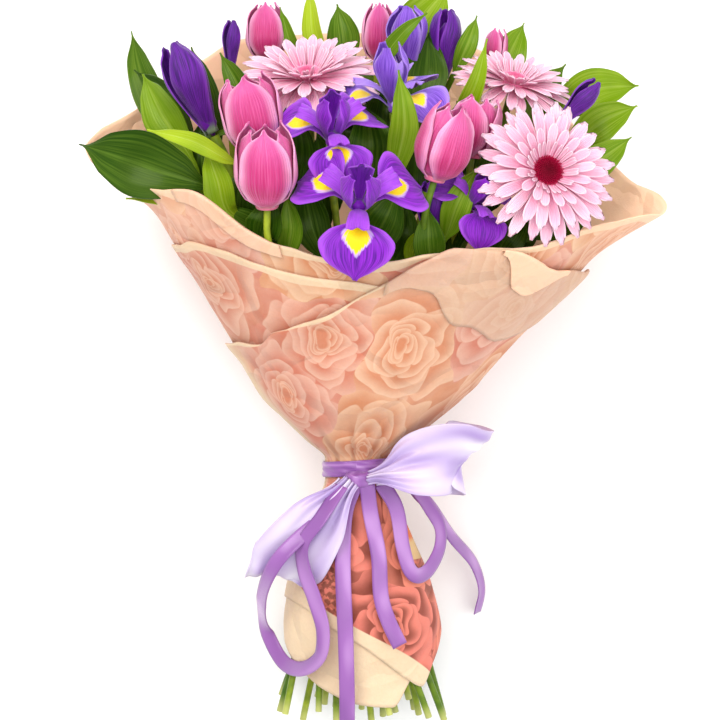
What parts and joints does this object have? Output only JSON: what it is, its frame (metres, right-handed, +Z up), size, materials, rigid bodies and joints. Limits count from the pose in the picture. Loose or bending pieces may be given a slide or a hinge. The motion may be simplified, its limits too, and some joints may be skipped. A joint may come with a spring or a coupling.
{
  "type": "mixed flower bouquet",
  "caption": "A hand-tied bouquet of pink tulips, violet irises and pale pink gerberas with leaves, in a cone of rose-printed wrapping paper tied with lilac satin ribbon, lying on its back.",
  "frame": {"origin": "On the table, at the middle of the flat patch where the wrapping paper rests behind the flower heads", "axes": "+Z up from the table, +Y along the bouquet from the cut stems to the flower heads, +X to the right as seen from above"},
  "size_m": [0.4069, 0.5403, 0.269],
  "materials": {
    "tulip_petals": "soft satin",
    "violet_iris_petals": "velvety matt",
    "blue_iris_petals": "velvety matt",
    "gerbera_petals": "soft matt",
    "gerbera_florets": "rough matt",
    "stems_and_leaves": "waxy satin",
    "wrapping_paper": "matt kraft with a print outside",
    "narrow_ribbon": "satin",
    "wide_ribbon": "satin"
  },
  "bodies": {
    "root": {"bud_left": "violet_iris_petals", "bud_left_stalk": "stems_and_leaves", "bud_right": "violet_iris_petals", "bud_right_stalk": "stems_and_leaves", "bud_thin": "violet_iris_petals", "bud_thin_stalk": "stems_and_leaves", "bud_top": "violet_iris_petals", "bud_top_stalk": "stems_and_leaves", "gerbera_back": "gerbera_petals", "gerbera_back_disc": "gerbera_florets", "gerbera_back_stalk": "stems_and_leaves", "gerbera_left": "gerbera_petals", "gerbera_left_disc": "gerbera_florets", "gerbera_left_stalk": "stems_and_leaves", "gerbera_right": "gerbera_petals", "gerbera_right_disc": "gerbera_florets", "gerbera_right_stalk": "stems_and_leaves", "iris_blue": "blue_iris_petals", "iris_blue_stalk": "stems_and_leaves", "iris_front": "violet_iris_petals", "iris_front_stalk": "stems_and_leaves", "iris_half": "blue_iris_petals", "iris_half_stalk": "stems_and_leaves", "iris_low": "violet_iris_petals", "iris_low_stalk": "stems_and_leaves", "iris_side": "violet_iris_petals", "iris_side_stalk": "stems_and_leaves", "iris_upper": "violet_iris_petals", "iris_upper_stalk": "stems_and_leaves", "paper_back": "wrapping_paper", "paper_left": "wrapping_paper", "paper_right": "wrapping_paper", "ribbon_band": "narrow_ribbon", "ribbon_bow_left": "wide_ribbon", "ribbon_bow_right": "wide_ribbon", "ribbon_tail_far": "narrow_ribbon", "ribbon_tail_left": "narrow_ribbon", "ribbon_tail_right": "narrow_ribbon", "ribbon_tail_short": "narrow_ribbon", "ribbon_tail_straight": "narrow_ribbon", "shoot_left": "stems_and_leaves", "shoot_low": "stems_and_leaves", "shoot_low_right": "stems_and_leaves", "shoot_right": "stems_and_leaves", "shoot_top": "stems_and_leaves", "tulip_front": "tulip_petals", "tulip_front_stalk": "stems_and_leaves", "tulip_left": "tulip_petals", "tulip_left_stalk": "stems_and_leaves", "tulip_middle": "tulip_petals", "tulip_middle_stalk": "stems_and_leaves", "tulip_right": "tulip_petals", "tulip_right_stalk": "stems_and_leaves", "tulip_small": "tulip_petals", "tulip_small_stalk": "stems_and_leaves", "tulip_top": "tulip_petals", "tulip_top_left": "tulip_petals", "tulip_top_left_stalk": "stems_and_leaves", "tulip_top_stalk": "stems_and_leaves"}
  },
  "joints": []
}
